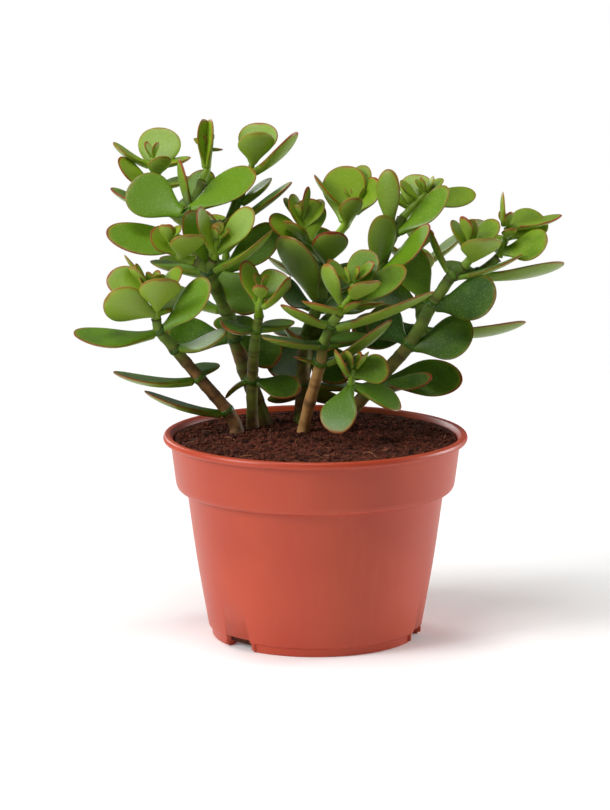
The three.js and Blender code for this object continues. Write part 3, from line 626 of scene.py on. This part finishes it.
def add_leaf(bm, seat, foot_gap, row, draw):
    """One leaf grown from its row, with the numbers that its finish reads."""
    axes, length = leaf_axes(seat, foot_gap, row)
    _, _, reach, width, _, sag_share = row
    half_thick = min(0.3 + 0.1 * width, HALF_THICK_LIMIT)
    small = reach < SMALL_LEAF
    tip_roundness = draw.uniform(1.9, 2.5)
    bend = draw.uniform(-0.05, 0.05) * length
    ripple = draw.uniform(0.0, 0.25)
    ripple_start = draw.uniform(0, 6)
    # The tone is painted light and shade from the leaf's place, plus a random part of the leaf's own
    # colour.
    tone = min(1, max(0, painted_light_on(seat[0]) + draw.uniform(-0.2, 0.35)))
    blush = draw.uniform(0.35, 1.0)
    sphere = bmesh.ops.create_uvsphere(
        bm, u_segments=10 if small else 16, v_segments=9 if small else 14, radius=1)
    layers = {name: bm.verts.layers.float[name] for name in LEAF_NUMBERS}
    for vert in sphere["verts"]:
        t = (1 - vert.co.z) / 2
        ring = math.hypot(vert.co.x, vert.co.y)
        pole = ring <= 1e-4
        side = 0.0 if pole else vert.co.x / ring
        up = 0.0 if pole else vert.co.y / ring
        wide = 0.0 if pole else width / 2 * width_share(t, tip_roundness)
        lens = math.copysign(abs(up) ** 1.25, up) * (0.75 if up > 0 else 1.25)
        thick = half_thick * thick_share(t) * lens
        sag = sag_share * length * (t ** 2 - t)
        lift = side ** 2 * (RIM_LIFT * wide + ripple * t * math.sin(6 * t + ripple_start))
        sway = bend * math.sin(math.pi * t)
        vert.co = axes @ Vector((side * wide + sway, t * length, thick + sag + lift))
        to_rim = min((1 - abs(side)) * wide, (1 - t) * length * 1.2)
        vert[layers["rim_gap"]] = to_rim if t > STALK_END else FAR_FROM_RIM
        vert[layers["along"]] = t
        vert[layers["above"]] = up
        vert[layers["tone"]] = tone
        vert[layers["blush"]] = blush


# %% [markdown]
# ## Leaf pairs
#
# Two leaves, or a few more, stand round a joint, and their feet join in a low green cuff about
# the cane. The cuff is a small oval spun about the cane. It swells where a leaf leaves it.

# %% Cuffs and leaf pairs
CUFF_TALL = 1.3
CUFF_THICK = 0.5
CUFF_CLEAR = 0.1
CUFF_SWELL = 0.5
CUFF_SIDES = 16
LEAF_INSET = 0.7


def add_cuff(bm, seat, headings, draw):
    place, direction, radius = seat
    oval = bmesh.ops.create_circle(bm, segments=8, radius=1)["verts"]
    lay_down = Matrix.Rotation(math.pi / 2, 4, "X")
    widen = Matrix.Diagonal((CUFF_THICK, 1, CUFF_TALL, 1))
    set_out = Matrix.Translation((radius + CUFF_CLEAR, 0, 0))
    bmesh.ops.transform(bm, verts=oval, matrix=set_out @ widen @ lay_down)
    edges = list({edge for vert in oval for edge in vert.link_edges})
    spin_round(bm, oval + edges, CUFF_SIDES)
    turn = direction.to_track_quat("Z", "Y").to_matrix().to_4x4()
    tone = draw.uniform(0.1, 0.5)
    number = bm.verts.layers.float
    for vert in bm.verts:
        vert.co = turn @ vert.co
        outward = (vert.co - direction * vert.co.dot(direction)).normalized()
        swell = sum(max(0, outward.dot(heading_to(heading, 0))) ** 4 for heading in headings)
        vert.co = place + vert.co + outward * CUFF_SWELL * swell + direction * CUFF_SWELL * swell
        vert[number["rim_gap"]] = FAR_FROM_RIM
        vert[number["above"]] = 0.3
        vert[number["tone"]] = tone


def make_leaf_pair(cane_name, joint, leaves):
    """The leaves of one joint on a cane, with the cuff that joins their feet."""
    node = f"leaves_{cane_name}_{joint}"
    draw = random.Random(node)
    bm = bmesh_with(LEAF_NUMBERS)
    seat = seat_at(cane_name, joint)
    add_apart(bm, add_cuff, seat, [row[0] for row in leaves], draw)
    for row in leaves:
        add_apart(bm, add_leaf, seat, seat[2] * LEAF_INSET, row, draw)
    return finish_piece(f"pair_{cane_name}_{joint}", bm, node, leaf_skin, rounds=1)


# %% [markdown]
# ## Shoots
#
# A shoot's soft end is a green cane that narrows to its tip. Its young leaves stand close and
# steep, and they belong to the same piece because they have not yet parted from it. The two
# smallest stand in the heart of the shoot. A tube is a ring of points extruded from place to
# place along its path.

# %% Tubes along a path
def ring_matrix(point, direction, radius):
    turn = direction.to_track_quat("Z", "Y").to_matrix().to_4x4()
    return Matrix.Translation(point) @ turn @ Matrix.Scale(radius, 4)


def add_tube(bm, path, radius_at, sides=14):
    """Extrude a circle along a path of (point, joint) pairs and close its ends. Returns its rings."""
    points = [point for point, _ in path]
    steps = [(after - before).normalized() for before, after in zip(points, points[1:])]
    ways = [steps[0], *[(a + b).normalized() for a, b in zip(steps, steps[1:])], steps[-1]]
    ring = bmesh.ops.create_circle(bm, segments=sides, radius=1)["verts"]
    edges = list({edge for vert in ring for edge in vert.link_edges})
    first_edges = edges
    placed = Matrix.Identity(4)
    rings = []
    for (point, joint), way in zip(path, ways):
        if rings:
            grown = bmesh.ops.extrude_edge_only(bm, edges=edges)["geom"]
            ring = [item for item in grown if isinstance(item, bmesh.types.BMVert)]
            fresh = set(ring)
            edges = [item for item in grown
                     if isinstance(item, bmesh.types.BMEdge) and fresh.issuperset(item.verts)]
        wanted = ring_matrix(point, way, radius_at(joint))
        bmesh.ops.transform(bm, verts=ring, matrix=wanted @ placed.inverted())
        placed = wanted
        rings.append((ring, joint))
    for rim in (first_edges, edges):
        bmesh.ops.contextual_create(bm, geom=rim)
    return rings


# %% Soft shoot ends
YOUNG_LEAF_INSET = 0.4
HEART_INSET = 0.3
SMALLEST_LEAF = (66, 7, 5, 0, 0.1)
SHOOT_BULGE = 0.22


def make_shoot(cane_name):
    """A green shoot end with its young leaves and, in its heart, the two smallest."""
    _, node, foot, end, joints = cane_named[cane_name]
    draw = random.Random(node)
    bm = bmesh_with(LEAF_NUMBERS)
    last = len(joints) - 1
    number = bm.verts.layers.float
    tone = draw.uniform(0.5, 0.9)

    def radius_at(joint):
        swell = SHOOT_BULGE * math.exp(-((joint - round(joint)) / 0.16) ** 2)
        return (foot + (end - foot) * joint / last) * (1 + swell)

    for ring, joint in add_tube(bm, path_through(joints), radius_at):
        for vert in ring:
            vert[number["rim_gap"]] = FAR_FROM_RIM
            vert[number["above"]] = 0.2
            vert[number["along"]] = joint / last * 0.3
            vert[number["tone"]] = tone
    for cane, joint, leaves in LEAVES:
        if cane == cane_name:
            seat = seat_at(cane, joint)
            for row in leaves:
                add_apart(bm, add_leaf, seat, seat[2] * YOUNG_LEAF_INSET, row, draw)
    heart = seat_at(cane_name, last)
    first_way = draw.uniform(0, 180)
    for way in (first_way, first_way + 180):
        add_apart(bm, add_leaf, heart, HEART_INSET, (way, *SMALLEST_LEAF), draw)
    name = node.replace("tip_", "shoot_")
    return finish_piece(name, bm, node, shoot_skin, rounds=1)


pairs = [make_leaf_pair(*row) for row in LEAVES if not cane_named[row[0]][1].startswith("tip_")]
shoots = [make_shoot(cane[0]) for cane in CANES if cane[1].startswith("tip_")]
print("leaf pieces:", len(pairs), "shoots:", len(shoots))

# %% [markdown]
# ## Bark
#
# Low down a jade stem is tan to red-brown and almost woody. Towards the shoots it is still
# green. Every fallen pair of leaves leaves a thin ring round it. The colour follows the height
# above the soil, and the rings are both raised in the mesh and darkened in the finish. The
# stems in the shade at the back are greener at the foot than the left and the front one.

# %% Bark finish
def bark_finish():
    bark = Finish("bark")
    scar = bark.attribute("scar")
    green = bark.attribute("green")
    warm = bark.attribute("warm")
    grain = bark.noise(300, detail=4)
    fine = bark.noise(1800, detail=3)
    patches = bark.noise(90, detail=2)
    tan = (grain * 1.3 + warm * 0.9 - 0.65).ramp(0, 1)
    woody = bark.mix(tan, paint(82, 54, 26), paint(178, 132, 76))
    young = bark.mix(patches.ramp(0.3, 0.7), paint(70, 100, 22), paint(118, 142, 48))
    skin = bark.mix((green + (patches - 0.5) * 0.9).ramp(0.25, 0.85), woody, young)
    skin = bark.mix(scar * 0.6, skin, paint(74, 48, 30))
    skin = bark.mix(fine.ramp(0.62, 0.8) * 0.35, skin, paint(196, 170, 126))
    return bark.surface(
        base_color=skin,
        roughness=grain.ramp(0.2, 0.9, 0.55, 0.8),
        normal=bark.bump(grain * 0.6 + fine * 0.4, 0.0004, 0.7),
        specular_ior_level=0.35,
        subsurface_weight=0.05,
        subsurface_scale=0.001,
    )


bark = bark_finish()
print("nodes in the bark finish:", len(bark.node_tree.nodes))

# %% [markdown]
# ## Stems
#
# A stem with its forks is one grown piece. Each cane is a tube, thickest at its foot. It bulges
# a little at every joint, and it carries extra ring scars between the joints, where older
# leaves once grew. A fork starts inside its parent and flares out of it.

# %% Stems
SCAR_EVERY = 9.0
SCAR_RAISED = 0.05
JOINT_BULGE = 0.10
FORK_FLARE = 0.35
FLARE_LENGTH = 3.0
KNOBBLE = 0.22
WOODY_TO = 10
GREEN_OVER = 36
SOIL_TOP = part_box("soil")[1].z / MM


def scar_strength(place, joint, draw_start):
    """1 on a ring scar and at a joint, fading to 0 within about a millimetre."""
    from_joint = abs(joint - round(joint))
    at_joint = math.exp(-(from_joint / 0.05) ** 2)
    turn = (place + draw_start) / SCAR_EVERY
    return max(at_joint, math.exp(-(abs(turn - round(turn)) * SCAR_EVERY / 0.7) ** 2))


def ring_centre(ring):
    return sum((vert.co for vert in ring), Vector()) / len(ring)


def add_cane(bm, cane, draw):
    """One cane as a tube, with the numbers that the bark finish reads."""
    name, _, foot, end, joints = cane
    path = path_through(joints)
    last = len(joints) - 1
    walked = 0
    place_at = {path[0][1]: 0}
    for (before, _), (after, joint) in zip(path, path[1:]):
        walked += (after - before).length
        place_at[joint] = walked
    start = draw.uniform(0, SCAR_EVERY)
    fork = joints[0][2] > SOIL_TOP
    warm = 1.0 if name == "front" else draw.uniform(0.1, 0.5)
    green_from = 0.0 if name in ("front", "left") else 0.5

    def radius_at(joint):
        radius = foot + (end - foot) * joint / last
        flare = FORK_FLARE * math.exp(-place_at[joint] / FLARE_LENGTH) if fork else 0.0
        bulge = JOINT_BULGE * math.exp(-((joint - round(joint)) / 0.12) ** 2)
        scar = SCAR_RAISED * scar_strength(place_at[joint], joint, start)
        return radius * (1 + flare + bulge + scar)

    numbers = bm.verts.layers.float
    for ring, joint in add_tube(bm, path, radius_at):
        centre = ring_centre(ring)
        for vert in ring:
            height = vert.co.z - SOIL_TOP
            vert[numbers["scar"]] = scar_strength(place_at[joint], joint, start)
            vert[numbers["green"]] = min(1, max(green_from, (height - WOODY_TO) / GREEN_OVER))
            vert[numbers["warm"]] = warm
            knobble = noise.noise(vert.co * 0.35) * KNOBBLE
            vert.co += (vert.co - centre).normalized() * knobble


def make_stem(node):
    draw = random.Random(node)
    bm = bmesh_with(("scar", "green", "warm"))
    for cane in CANES:
        if cane[1] == node:
            add_apart(bm, add_cane, cane, draw)
    return finish_piece(node.replace("stem_", "bark_"), bm, node, bark)


stem_nodes = sorted({cane[1] for cane in CANES if cane[1].startswith("stem_")})
stems = [make_stem(node) for node in stem_nodes]
print("stems:", len(stems))

# %% [markdown]
# ## Nursery pot
#
# The pot is thin moulded plastic: a stepped body, a wide collar and a rolled rim. A mould
# turns out a shape of revolution, so one outline is drawn and spun about the middle. Every
# corner of the outline is rounded first, because moulded plastic has no sharp edges.

# %% Pot outline
POT_WALL = 1.1
POT_FLOOR = 1.6
POT_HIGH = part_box("pot")[1]
RIM_RADIUS = POT_HIGH.x / MM
RIM_TOP = POT_HIGH.z / MM
SKIRT_RADIUS = 41.2
POT_OUTSIDE = [
    (0, 0.6, 0), (37, 0.6, 0.5), (38.2, 0, 0.5), (40.8, 0, 0.6), (SKIRT_RADIUS, 3.3, 0.4),
    (42.3, 3.9, 0.5), (47.0, 31, 8), (50.7, 58.5, 0.2), (54.7, 58.9, 3.0),
    (57.0, 77.5, 0.25), (59.3, 77.7, 0.6), (RIM_RADIUS, 78.8, 0.7), (59.5, RIM_TOP, 0.8),
]
POT_INSIDE = [
    (57.2, RIM_TOP, 0.8), (55.9, 78.5, 0.6), (53.6, 62.6, 0.9), (52.6, 60.8, 0.9), (49.6, 60.0, 0.8),
    (45.9, 31, 8), (40.3, POT_FLOOR, 1.2), (0, POT_FLOOR, 0),
]
CORNER_STEPS = 4
POT_SIDES = 128


def rounded(outline):
    """The outline's points, with each corner cut to an arc that starts its own distance away."""
    points = []
    for index, (radius, height, cut) in enumerate(outline):
        corner = Vector((radius, height))
        if cut == 0:
            points.append(corner)
            continue
        arms = [Vector(outline[index + step][:2]) - corner for step in (-1, 1)]
        start, stop = [corner + arm.normalized() * min(cut, arm.length * 0.45) for arm in arms]
        for step in range(CORNER_STEPS + 1):
            share = step / CORNER_STEPS
            points.append(start.lerp(corner, share).lerp(corner.lerp(stop, share), share))
    return points


def spin_outline(outline, sides):
    """A closed skin turned about the Z axis from a rounded outline, in millimetres."""
    bm = bmesh.new()
    chain = [bm.verts.new((point.x, 0, point.y)) for point in rounded(outline)]
    edges = [bm.edges.new(pair) for pair in zip(chain, chain[1:])]
    spin_round(bm, chain + edges, sides)
    bmesh.ops.remove_doubles(bm, verts=bm.verts, dist=0.01)
    bmesh.ops.recalc_face_normals(bm, faces=bm.faces)
    return bm


print("points in the pot's outline:", len(rounded([*POT_OUTSIDE, *POT_INSIDE])))

# %% [markdown]
# ## Notches in the foot
#
# Water leaves through three low notches in the foot, each with a hood above it that keeps the
# soil out. A hood is a small box added to the wall, and a smaller box with sloping sides is
# cut out of it. Adding and cutting solids is what a Boolean modifier does.

# %% Notches
NOTCH_ANGLES = (-136, -16, 104)
NOTCH_WIDTH = 15
NOTCH_HEIGHT = 5
NOTCH_INNER = 28
NOTCH_BELOW = -3
NOTCH_OUTER = 50
NOTCH_SLOPE = 1.0
HOOD_LOW = 0.8


def foot_block(name, angle, width, low, high, inner, outer):
    """A block from the foot's skirt inwards, narrower at its top by the slope on each side."""
    bm = bmesh.new()
    bmesh.ops.create_cube(bm, size=1)
    for vert in bm.verts:
        top = vert.co.z > 0
        vert.co.x = outer if vert.co.x > 0 else inner
        vert.co.y = math.copysign(width / 2 - (NOTCH_SLOPE if top else 0), vert.co.y)
        vert.co.z = high if top else low
    bmesh.ops.bevel(bm, geom=bm.edges, offset=0.4, affect="EDGES", segments=2, profile=0.5, material=-1)
    bmesh.ops.rotate(bm, verts=bm.verts, matrix=Matrix.Rotation(math.radians(angle), 3, "Z"))
    bmesh.ops.recalc_face_normals(bm, faces=bm.faces)
    return place_mesh(name, bm)


def add_or_cut(bm, blocks, operation):
    """Each block is added to the bmesh or cut from it. The blocks are used up."""
    work = place_mesh("workpiece", bm)
    for block in blocks:
        step = work.modifiers.new(block.name, "BOOLEAN")
        step.operation = operation
        step.solver = "EXACT"
        step.object = block
    bpy.context.view_layer.update()
    done = work.evaluated_get(bpy.context.evaluated_depsgraph_get())
    bm.clear()
    bm.from_mesh(done.data)
    for item in (work, *blocks):
        bpy.data.meshes.remove(item.data)


# %% [markdown]
# ## Terracotta-coloured plastic
#
# The colour is in the plastic, so it is almost even. What shows that it is real is small: a
# satin surface with faint flow marks from the mould, fine specks, and a few dull scuffs where
# pots were stacked.

# %% Pot finish
def plastic_finish():
    plastic = Finish("terracotta_plastic")
    cloud = plastic.noise(28, detail=2)
    drawn_out = {"Vector": plastic.place(), "Scale": (1.0, 1.0, 0.12)}
    upright = plastic.node("ShaderNodeMapping", None, drawn_out)
    flow_inputs = {"Vector": upright, "Scale": 260.0, "Detail": 3.0}
    flow = plastic.node("ShaderNodeTexNoise", None, flow_inputs)
    speck = plastic.noise(2600, detail=2)
    scuff = (flow * 0.6 + cloud * 0.6).ramp(0.66, 0.82)
    colour = plastic.mix(cloud.ramp(0.3, 0.7), paint(174, 58, 28), paint(182, 66, 34))
    colour = plastic.mix(scuff * 0.08, colour, paint(214, 124, 98))
    colour = plastic.mix(speck.ramp(0.66, 0.8) * 0.12, colour, paint(150, 66, 48))
    return plastic.surface(
        base_color=colour,
        roughness=scuff * 0.1 + cloud * 0.1 + 0.36,
        normal=plastic.bump(speck * 0.5 + flow * 0.5, 0.00012, 0.3),
        specular_ior_level=0.5,
        subsurface_weight=0.04,
        subsurface_scale=0.002,
    )


def make_pot():
    bm = spin_outline([*POT_OUTSIDE, *POT_INSIDE], POT_SIDES)
    hood_width = NOTCH_WIDTH + 2 * POT_WALL
    hood_top = NOTCH_HEIGHT + POT_WALL
    hood_inner = NOTCH_INNER - POT_WALL
    hoods = [foot_block(f"hood_{angle}", angle, hood_width, HOOD_LOW, hood_top, hood_inner,
                        SKIRT_RADIUS) for angle in NOTCH_ANGLES]
    notches = [foot_block(f"notch_{angle}", angle, NOTCH_WIDTH, NOTCH_BELOW, NOTCH_HEIGHT,
                          NOTCH_INNER, NOTCH_OUTER) for angle in NOTCH_ANGLES]
    add_or_cut(bm, hoods, "UNION")
    add_or_cut(bm, notches, "DIFFERENCE")
    return finish_piece("nursery_pot", bm, "pot", plastic_finish())


pot = make_pot()
print("pot faces:", len(pot.data.polygons))

# %% [markdown]
# ## Soil
#
# The growing mix is coir and peat: dark red-brown crumbs and a tangle of thin fibres, a few
# of them pale. The body is a spun plug whose top is a fine net of points, pushed up and down
# by noise. Crumbs are small squashed spheres, and each fibre is a thin bent tube.

# %% Soil finish
def soil_finish():
    soil = Finish("coir_mix")
    tint = soil.attribute("tint")
    clod = soil.noise(210, detail=5, roughness=0.65)
    grit = soil.noise(1500, detail=4, roughness=0.7)
    crumbly = (clod * 0.6 + grit * 0.5).ramp(0.4, 0.72)
    ground = soil.mix(crumbly, paint(20, 7, 5), paint(124, 64, 44))
    fibre = soil.mix((tint - 1).ramp(0.0, 1.0), paint(88, 42, 30), paint(170, 116, 82))
    colour = soil.mix(tint.ramp(0.45, 0.95), ground, fibre)
    return soil.surface(
        base_color=colour,
        roughness=grit.ramp(0.2, 0.8, 0.85, 1.0),
        normal=soil.bump(clod * 0.5 + grit * 0.5, 0.0012, 0.9),
        specular_ior_level=0.2,
    )


# %% Soil surface
SOIL_RIM = 55.2
SOIL_EDGE = 78.8
SOIL_DOME = 1.4
SOIL_SINK = 0.9
LUMPS = ((0.11, 1.1), (0.33, 0.8), (0.8, 0.45))
SOIL_BODY = [
    (0, 2.0, 0), (39.6, 2.0, 0.8), (45.5, 31, 4), (49.2, 60.4, 0.5), (52.2, 61.2, 0.6), (53.2, 63, 0.6),
    (SOIL_RIM, SOIL_EDGE, 0),
]


def soil_height(x, y):
    """How high the soil's top is at a place, in millimetres."""
    radius = math.hypot(x, y)
    dome = SOIL_EDGE + SOIL_DOME * max(0, 1 - (radius / SOIL_RIM) ** 2)
    place = Vector((x, y, 0))
    lumps = [noise.noise(place * fine) * tall for fine, tall in LUMPS]
    return dome - SOIL_SINK + sum(lumps)


def random_spot(draw):
    """A place on the soil, spread evenly over the disc."""
    radius = (SOIL_RIM - 1.0) * math.sqrt(draw.random())
    angle = draw.uniform(0, 2 * math.pi)
    return radius * math.cos(angle), radius * math.sin(angle)


print("soil height in the middle:", round(soil_height(0, 0), 2))


# %% Crumbs and fibres
FIBRE_STEPS = 5
FIBRE_SIDES = 4


def add_crumb(bm, draw):
    tint_layer = bm.verts.layers.float["tint"]
    x, y = random_spot(draw)
    size = draw.uniform(0.35, 1.15)
    crumb = bmesh.ops.create_icosphere(bm, subdivisions=1, radius=size)["verts"]
    tint = 0.0 if draw.random() < 0.8 else draw.uniform(0.4, 0.9)
    squash = Matrix.Diagonal((1, draw.uniform(0.6, 1.2), draw.uniform(0.5, 0.9), 1))
    spot = Matrix.Translation((x, y, soil_height(x, y) + size * 0.2))
    turn = Matrix.Rotation(draw.uniform(0, 6.28), 4, Vector((draw.random(), draw.random(), 1)))
    for vert in crumb:
        vert.co *= 1 + 0.3 * noise.noise(vert.co * 2 + Vector((x, y, 0)))
        vert.co = spot @ turn @ squash @ vert.co
        vert[tint_layer] = tint


def add_fibre(bm, draw):
    """A thin bent tube that lies on the soil and lifts off it here and there."""
    tint_layer = bm.verts.layers.float["tint"]
    x, y = random_spot(draw)
    length = draw.uniform(3, 11)
    angle = draw.uniform(0, 2 * math.pi)
    bend = draw.uniform(-1.1, 1.1)
    lift = draw.uniform(0.1, 0.8)
    tint = 2.0 if draw.random() < 0.07 else draw.uniform(0.6, 1.3)
    path = []
    for step in range(FIBRE_STEPS + 1):
        share = step / FIBRE_STEPS
        if math.hypot(x, y) > SOIL_RIM - 0.8:
            break
        height = soil_height(x, y) + 0.15 + lift * math.sin(math.pi * share)
        path.append((Vector((x, y, height)), share))
        angle += bend / FIBRE_STEPS
        x += math.cos(angle) * length / FIBRE_STEPS
        y += math.sin(angle) * length / FIBRE_STEPS
    if len(path) < 3:
        return
    thick = draw.uniform(0.07, 0.16)
    for ring, _ in add_tube(bm, path, lambda share: thick, FIBRE_SIDES):
        for vert in ring:
            vert[tint_layer] = tint


# %% Soil bed
CRUMBS = 2600
FIBRES = 900
SOIL_RINGS = 44
SOIL_SIDES = 132


def make_soil():
    draw = random.Random("soil")
    top = [(SOIL_RIM * (1 - ring / SOIL_RINGS), SOIL_EDGE, 0) for ring in range(1, SOIL_RINGS + 1)]
    bm = spin_outline([*SOIL_BODY, *top], SOIL_SIDES)
    bm.verts.layers.float.new("tint")
    for vert in bm.verts:
        if vert.co.z > SOIL_EDGE - 0.01 and math.hypot(vert.co.x, vert.co.y) < SOIL_RIM - 0.1:
            vert.co.z = soil_height(vert.co.x, vert.co.y)
    for _ in range(CRUMBS):
        add_apart(bm, add_crumb, draw)
    for _ in range(FIBRES):
        add_apart(bm, add_fibre, draw)
    return finish_piece("soil_bed", bm, "soil", soil_finish())


soil = make_soil()
print("soil faces:", len(soil.data.polygons))

# %% [markdown]
# ## Floor
#
# The floor is plain and pale and is no part of the object. It is a disc that fades out at its
# edge, so no horizon shows behind the plant.

# %% Floor
FLOOR_EDGE = 0.8
FLOOR_PLAIN = 0.25
FLOOR_GLOW = 0.12


def make_floor():
    bm = bmesh.new()
    bmesh.ops.create_circle(bm, segments=64, radius=FLOOR_EDGE, cap_ends=True)
    floor = place_mesh("floor", bm)
    plain = Finish("pale_floor")
    tone = plain.noise(3, detail=2).ramp(0.2, 0.8)
    colour = plain.mix(tone, paint(243, 243, 242), paint(247, 247, 247))
    radius = plain.node("ShaderNodeVectorMath", {"operation": "LENGTH"}, {0: plain.place()}, "Value")
    floor.data.materials.append(plain.surface(
        base_color=colour, roughness=0.6, specular_ior_level=0.2,
        emission_color=paint(255, 255, 255), emission_strength=FLOOR_GLOW,
        alpha=radius.ramp(FLOOR_EDGE, FLOOR_PLAIN)))


make_floor()
print("floor radius, metres:", FLOOR_EDGE)
